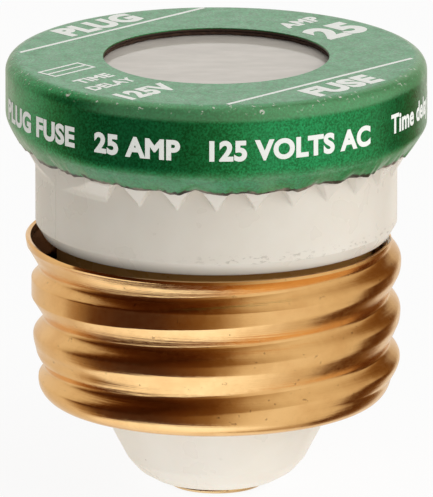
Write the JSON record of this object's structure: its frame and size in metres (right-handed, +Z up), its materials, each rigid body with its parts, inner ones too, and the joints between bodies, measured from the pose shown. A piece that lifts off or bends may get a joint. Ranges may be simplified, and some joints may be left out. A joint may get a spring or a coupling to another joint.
{
  "type": "plug fuse",
  "caption": "Screw-in plug fuse: moulded insulator, rolled thread shell, tip contact, lagged link and a viewing window under a crimped cap.",
  "frame": {"origin": "on the fuse's axis, level with the flat tip face of the centre contact", "axes": "+Z up the axis to the cap; -Y is the side seen from the front; the shell lead leaves near +X"},
  "size_m": [0.0298, 0.0298, 0.0312],
  "materials": {
    "paint": "gloss enamel on rolled sheet, bare metal at the cut edge",
    "moulding": "glossy cream-white moulding",
    "brass": "bright rolled brass sheet",
    "zinc": "dull zinc-coloured fusible strip",
    "solder": "soft, slightly dull solder",
    "copper": "turned copper-coloured slug",
    "fibre": "dark brown pressed fibre",
    "window": "clear disc"
  },
  "bodies": {
    "root": {"insulator_body": "moulding", "screw_shell": "brass", "centre_contact": "brass", "centre_eyelet": "brass", "centre_solder": "solder", "lower_terminal": "brass", "lower_joint_solder": "solder", "fuse_link": "zinc", "load_solder": "solder", "load_slug": "copper", "upper_joint_solder": "solder", "shell_lead": "brass", "shell_joint_solder": "solder", "window": "window", "window_gasket": "fibre", "cap_ring": "paint"}
  },
  "joints": []
}
